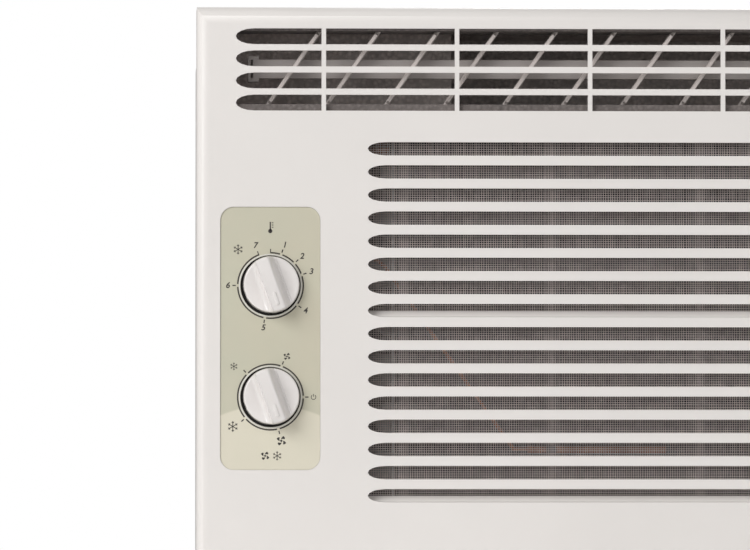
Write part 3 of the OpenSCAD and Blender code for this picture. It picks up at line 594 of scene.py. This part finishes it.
def fan_sign(bm, centre, size):
    """A four-bladed fan sign."""
    arc(bm, centre, size * 0.12, size * 0.2, 0, 360)
    steps = 8
    sweep, spread, lead = 34, 52, 8
    for k in range(4):
        outline = []
        for j in range(steps + 1):
            t = j / steps
            outline.append(polar(centre, size * (0.3 + 0.7 * t), 90 * k + sweep * t - lead))
        for j in range(1, steps):
            t = 1 - j / steps
            clock = 90 * k + sweep * t - lead + spread * math.sin(math.pi * t) ** 0.8
            outline.append(polar(centre, size * (0.3 + 0.7 * t), clock))
        prism(bm, outline, ink_y0, ink_y1)


def off_sign(bm, centre, size):
    """A ring with a gap and a bar."""
    arc(bm, centre, size * 0.8, size * 0.22, 35, 325)
    stroke(bm, (centre[0], centre[1] + size * 0.15), (centre[0], centre[1] + size * 1.05), size * 0.22)


def thermometer_sign(bm, centre, size):
    """A bulb and stem with four ticks."""
    bulb = (centre[0], centre[1] - size * 0.62)
    arc(bm, bulb, size * 0.17, size * 0.34, 0, 360)
    stroke(bm, bulb, (centre[0], centre[1] + size * 0.85), size * 0.2)
    for k in range(4):
        z = centre[1] - size * 0.05 + k * size * 0.27
        stroke(bm, (centre[0] + size * 0.22, z), (centre[0] + size * 0.52, z), size * 0.1)


def numeral(bm, text, centre, size):
    """A leaning numeral, cut from the stock font."""
    curve = bpy.data.curves.new("numeral", "FONT")
    curve.body = text
    curve.size = size
    curve.shear = 0.22
    curve.align_x = "CENTER"
    curve.align_y = "CENTER"
    curve.extrude = (ink_y1 - ink_y0) / 2
    curve.offset = size * 0.022
    source = bpy.data.objects.new("numeral", curve)
    bpy.context.scene.collection.objects.link(source)
    mesh = bpy.data.meshes.new_from_object(source.evaluated_get(bpy.context.evaluated_depsgraph_get()))
    mesh.transform(Matrix.Translation((centre[0], (ink_y0 + ink_y1) / 2, centre[1]))
                   @ Matrix.Rotation(math.radians(90), 4, "X"))
    bm.from_mesh(mesh)
    bpy.data.objects.remove(source)
    bpy.data.curves.remove(curve)
    bpy.data.meshes.remove(mesh)


# Clock angles of the dials' stops, in degrees
temperature_stops = {"1": 19, "2": 47, "3": 71, "4": 126, "5": 190, "6": 270, "7": 339}
mode_stops = {"low_fan": 20, "off": 90, "high_fan": 166, "high_cool": 230, "low_cool": 315}
temperature_travel = (0, 339)


def printed_marks():
    bm = bmesh.new()
    dial_ring(bm, temperature_at, list(temperature_stops.values())[:-1], ends=temperature_travel)
    for a in temperature_travel:
        stroke(bm, polar(temperature_at, 16.7 * MM, a), polar(temperature_at, 18.9 * MM, a), 0.5 * MM)
    for text, clock in temperature_stops.items():
        numeral(bm, text, polar(temperature_at, 22.1 * MM, clock), 4.2 * MM)
    snowflake(bm, polar(temperature_at, 25.0 * MM, 318), 2.6 * MM)
    dial_ring(bm, mode_at, list(mode_stops.values()))
    for sign, stop, turn, radius, size in (
            (fan_sign, "low_fan", 2, 22.6, 2.0), (fan_sign, "high_fan", 0, 23.2, 2.7),
            (snowflake, "low_cool", -5, 24.6, 2.0), (snowflake, "high_cool", 2, 24.6, 2.8),
            (off_sign, "off", 0, 22.2, 1.5)):
        sign(bm, polar(mode_at, radius * MM, mode_stops[stop] + turn), size * MM)
    # Headings: what each dial sets
    middle = (plate_lo.x + plate_hi.x) / 2
    thermometer_sign(bm, (middle, plate_hi.z - 10.4 * MM), 3.2 * MM)
    for sign, aside in ((fan_sign, -2.6), (snowflake, 3.6)):
        sign(bm, (middle + aside * MM, plate_lo.z + 7.2 * MM), 2.4 * MM)
    finish_piece("dial_printing", bm, "case", "plate_film", smooth=False, mat=print_ink)



printed_marks()


def dial_collar(name, at):
    """Raised lip round a knob's hole, with a near-black wall and floor inside the gap: painted shade."""
    centre = Vector((at[0], 0.0, at[1]))
    lip = [(15.7, 0.3), (15.6, 0.0), (15.66, -0.22), (15.82, -0.32), (16.02, -0.25), (16.25, 0.0),
           (16.25, 0.1), (16.0, 0.1)]
    well = [(15.65, 0.0), (15.65, 2.5), (13.9, 2.5)]

    def turned(profile):
        bm = bmesh.new()
        rows = lathe(bm, [(r * MM, plate_lo.y + dy * MM) for r, dy in profile], centre, 96, (False, False))
        return bm, rows

    bm, rows = turned(lip)
    bridge(bm, rows[-1], rows[0])
    finish_piece(name, bm, "case", "plate_film", mat=looks["tray_plastic"])
    # The gap's wall and floor: a near-black sheet of painted shade where the hole looks into the dark
    bm, rows = turned(well)
    finish_piece(name + "_well", bm, "case", "black_plastic", mat=knob_gap_painted_shade)


dial_collar("temperature_collar", temperature_at)
dial_collar("mode_collar", mode_at)


# Filter net ---------------------------------------------------------------------

def filter_net():
    """The woven net: upright strands, then level ones, each a little off its place."""
    lo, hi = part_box("filter_mesh")
    pitch = 1.19 * MM
    half = 0.165 * MM
    middle = (lo.y + hi.y) / 2
    weave = 0.07 * MM
    stray, lean = 0.08, 0.15
    rng = random.Random(4)
    bm = bmesh.new()
    for k in range(int((hi.x - lo.x) / pitch) + 1):
        x = lo.x + k * pitch + rng.uniform(-stray, stray) * MM
        start = Vector((x, middle + weave, lo.z))
        end = Vector((x + rng.uniform(-lean, lean) * MM, middle + weave, hi.z))
        thread(bm, start, end, Vector((half, 0, 0)), Vector((0, half * 0.9, 0)))
    for k in range(int((hi.z - lo.z) / pitch) + 1):
        z = lo.z + k * pitch + rng.uniform(-stray, stray) * MM
        start = Vector((lo.x, middle - weave, z))
        end = Vector((hi.x, middle - weave, z + rng.uniform(-lean, lean) * MM))
        thread(bm, start, end, Vector((0, half * 0.9, 0)), Vector((0, 0, half)))
    piece = finish_piece("woven_net", bm, "filter", "filter_net", smooth=False)
    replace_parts(piece, "filter_mesh")


filter_net()


# Coils --------------------------------------------------------------------------

def fin_stack(name, node, pitch, tube_pitch, slot):
    """A stack of thin upright fins with a rippled face, in place of a solid block."""
    lo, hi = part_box(node)
    thick = 0.14 * MM
    ripples = 6
    ripple = 0.35 * MM
    rng = random.Random(len(node))
    bm = bmesh.new()
    count = int((hi.x - lo.x - 2 * ripple) / pitch)
    for k in range(count + 1):
        x = lo.x + ripple + k * pitch + rng.uniform(-0.05, 0.05) * MM
        bend = rng.uniform(-0.12, 0.12) * MM
        rows = []
        for j in range(ripples + 1):
            y = lo.y + (hi.y - lo.y) * j / ripples
            dx = ripple * 0.5 * (-1) ** j
            rows.append(ring_of(bm, [(x + dx, y, lo.z), (x + dx + thick, y, lo.z),
                                     (x + dx + thick + bend, y, hi.z), (x + dx + bend, y, hi.z)]))
        for a, b in zip(rows, rows[1:]):
            bridge(bm, a, b)
        bm.faces.new(rows[0])
        bm.faces.new(reversed(rows[-1]))
    # Collars that the fins sit on, one round each tube pass
    collar = tube_pitch * 0.187 + 0.25 * MM
    sides = 16
    rows_up = int(round((hi.z - lo.z) / tube_pitch))
    for row in range(rows_up):
        for column in (-0.5, 0.5):
            z = (lo.z + hi.z) / 2 + (row - (rows_up - 1) / 2) * tube_pitch
            y = (lo.y + hi.y) / 2 + column * (hi.y - lo.y) * 0.5
            angles = [math.tau * k / sides for k in range(sides)]
            ends = [ring_of(bm, [(x, y + collar * math.cos(a), z + collar * math.sin(a)) for a in angles])
                    for x in (lo.x + 0.5 * MM, hi.x - 0.5 * MM)]
            bridge(bm, ends[0], ends[1])
    piece = finish_piece(name, bm, "case", slot, smooth=False)
    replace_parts(piece, node)


# The front coil's fins are near black: painted shade
fin_stack("evaporator_fin_stack", "evaporator_fins", 1.5 * MM, 25.4 * MM, "coated_aluminium")
fin_stack("condenser_fin_stack", "condenser_fins", 1.8 * MM, 25.4 * MM, "fin_aluminium")


# Fans ---------------------------------------------------------------------------

def blade_sheet(bm, rows, thick):
    """A closed thin shell round a grid of points, offset along Y by its thickness."""
    front = [ring_of(bm, row) for row in rows]
    back = [ring_of(bm, [(x, y + thick, z) for x, y, z in row]) for row in rows]
    for grid in (front, back):
        for a, b in zip(grid, grid[1:]):
            bridge(bm, a, b, closed=False)
    bridge(bm, front[0], back[0], closed=False)
    bridge(bm, front[-1], back[-1], closed=False)
    for side in (0, -1):
        bridge(bm, [row[side] for row in front], [row[side] for row in back], closed=False)


def turned_ring(bm, profile, centre, steps):
    """A closed ring turned from a profile of (radius, y) points."""
    rows = lathe(bm, profile, centre, steps, (False, False))
    bridge(bm, rows[-1], rows[0])


def rear_fan():
    lo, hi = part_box("condenser_fan")
    centre = Vector(((lo.x + hi.x) / 2, 0.0, (lo.z + hi.z) / 2))
    radius = (hi.x - lo.x) / 2
    mid = (lo.y + hi.y) / 2
    half = (hi.y - lo.y) / 2
    bore, blade_root, hub = 4 * MM, 20 * MM, 22 * MM
    blades, radial, chord = 5, 14, 12
    bm = bmesh.new()
    for b in range(blades):
        rows = []
        for i in range(radial + 1):
            t = i / radial
            r = blade_root + (radius - 3 * MM - blade_root) * t
            sweep = 18 * t ** 1.3
            span = 50 - 14 * t
            pitch = 1.0 - 0.45 * t
            row = []
            for j in range(chord + 1):
                c = j / chord - 0.5
                clock = b * 360 / blades + sweep + span * c
                x, z = polar((centre.x, centre.z), r, clock)
                y = mid + half * 1.7 * c * pitch + half * 0.35 * (c * c * 4 - 1) * 0.6
                row.append((x, max(lo.y + 1 * MM, min(hi.y - 3 * MM, y)), z))
            rows.append(row)
        blade_sheet(bm, rows, 1.6 * MM)
    cap = lo.y + 1.2 * MM
    base = hi.y - 2 * MM
    lathe(bm, [(bore, cap), (hub - 3 * MM, cap), (hub, lo.y + 4 * MM), (hub, base), (bore, base)], centre, 64,
          (False, False))
    # The ring that picks up water from the pan
    inner = radius - 2.4 * MM
    front, back = mid - 5 * MM, mid + 5 * MM
    turned_ring(bm, [(radius, front), (radius, back), (inner, back), (inner, front)], centre, 128)
    piece = finish_piece("slinger_fan", bm, "rotor", "black_plastic")
    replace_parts(piece, "condenser_fan")


def blower():
    lo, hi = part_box("blower_wheel")
    centre = Vector(((lo.x + hi.x) / 2, 0.0, (lo.z + hi.z) / 2))
    radius = (hi.x - lo.x) / 2
    count, steps = 44, 6
    inner = radius - 13 * MM
    lean, thick = 9, 0.7
    bm = bmesh.new()
    for b in range(count):
        outline_out, outline_in = [], []
        for j in range(steps + 1):
            t = j / steps
            r = inner + (radius - 0.6 * MM - inner) * t
            clock = b * 360 / count + lean * t ** 1.8
            outline_out.append(polar((centre.x, centre.z), r, clock))
            outline_in.append(polar((centre.x, centre.z), r, clock + thick))
        for j in range(steps):
            quad = [outline_out[j], outline_out[j + 1], outline_in[j + 1], outline_in[j]]
            prism(bm, quad, lo.y + 0.6 * MM, hi.y - 1 * MM)
    rim = radius - 2.2 * MM
    for y in (lo.y, lo.y + (hi.y - lo.y) * 0.5):
        turned_ring(bm, [(radius, y), (radius, y + 2 * MM), (rim, y + 2 * MM), (rim, y)], centre, 96)
    # Back plate, dished towards the hub
    bore, hub = 4 * MM, 14 * MM
    plate, hub_end = hi.y - 2 * MM, hi.y - 28 * MM
    turned_ring(bm, [(bore, hi.y), (radius, hi.y), (radius, plate), (radius - 16 * MM, plate),
                     (hub + 2 * MM, hi.y - 12 * MM), (hub, hub_end), (bore, hub_end)], centre, 96)
    piece = finish_piece("blower_drum", bm, "rotor", "black_plastic")
    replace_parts(piece, "blower_wheel")


rear_fan()
blower()


# Floor, light and camera ----------------------------------------------------------

def pale_floor():
    bpy.ops.mesh.primitive_circle_add(vertices=96, radius=1.0, fill_type="NGON", location=(0, 0, -0.2 * MM))
    floor = bpy.context.object
    floor.name = "floor"
    s = Surface("floor_paint", (0.92, 0.92, 0.915), 0.6)
    s.tint(s.spread(s.noise(3.0, 3.0), 0.0, 1.0), (0.90, 0.90, 0.895))
    floor.data.materials.append(s.mat)


def soft_world():
    """A weak warm light from all round, with a plain white backdrop where the camera sees it."""
    world = bpy.data.worlds.new("studio")
    world.use_nodes = True
    tree = world.node_tree
    light = tree.nodes["Background"]
    light.inputs["Color"].default_value = (1.0, 0.985, 0.97, 1.0)
    light.inputs["Strength"].default_value = 0.30
    backdrop = tree.nodes.new("ShaderNodeBackground")
    backdrop.inputs["Color"].default_value = (1.0, 1.0, 1.0, 1.0)
    backdrop.inputs["Strength"].default_value = 1.0
    path = tree.nodes.new("ShaderNodeLightPath")
    mix = tree.nodes.new("ShaderNodeMixShader")
    tree.links.new(path.outputs["Is Camera Ray"], mix.inputs["Fac"])
    tree.links.new(light.outputs["Background"], mix.inputs[1])
    tree.links.new(backdrop.outputs["Background"], mix.inputs[2])
    tree.links.new(mix.outputs["Shader"], tree.nodes["World Output"].inputs["Surface"])
    bpy.context.scene.world = world


def soft_box(name, at, target, size, watts):
    """A rectangular lamp that faces its target."""
    light = bpy.data.lights.new(name, "AREA")
    light.shape = "RECTANGLE"
    light.size, light.size_y = size
    light.energy = watts
    lamp = bpy.data.objects.new(name, light)
    lamp.location = at
    lamp.rotation_euler = (Vector(target) - Vector(at)).to_track_quat("-Z", "Y").to_euler()
    bpy.context.scene.collection.objects.link(lamp)


def studio():
    pale_floor()
    soft_world()
    bpy.context.scene.view_settings.view_transform = "Standard"
    soft_box("key", (-1.7, -1.7, 1.1), (-0.05, -0.15, 0.15), (1.5, 1.5), 43)
    soft_box("fill", (1.2, -2.2, 0.7), (0.0, -0.1, 0.15), (1.6, 1.6), 9)
    soft_box("rear", (0.6, 2.2, 1.6), (0.0, 0.1, 0.15), (1.5, 1.2), 34)


def camera():
    """A long lens a little left of and below the middle, on the left part of the front."""
    panel_lo, panel_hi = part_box("front_panel")
    view_width = 386.6 * MM
    distance = 3.6
    azimuth, elevation = math.radians(-2.0), math.radians(-2.0)
    aim = Vector((panel_lo.x + 91.8 * MM, panel_lo.y, panel_hi.z - 138.7 * MM))
    away = Vector((math.sin(azimuth) * math.cos(elevation), -math.cos(azimuth) * math.cos(elevation),
                   math.sin(elevation)))
    cam = bpy.data.cameras.new("camera")
    cam.sensor_width = 36.0
    cam.lens = cam.sensor_width * distance / view_width
    cam.clip_end = 50.0
    rig = bpy.data.objects.new("camera", cam)
    rig.location = aim + away * distance
    rig.rotation_euler = (-away).to_track_quat("-Z", "Y").to_euler()
    bpy.context.scene.collection.objects.link(rig)
    bpy.context.scene.camera = rig


studio()
camera()
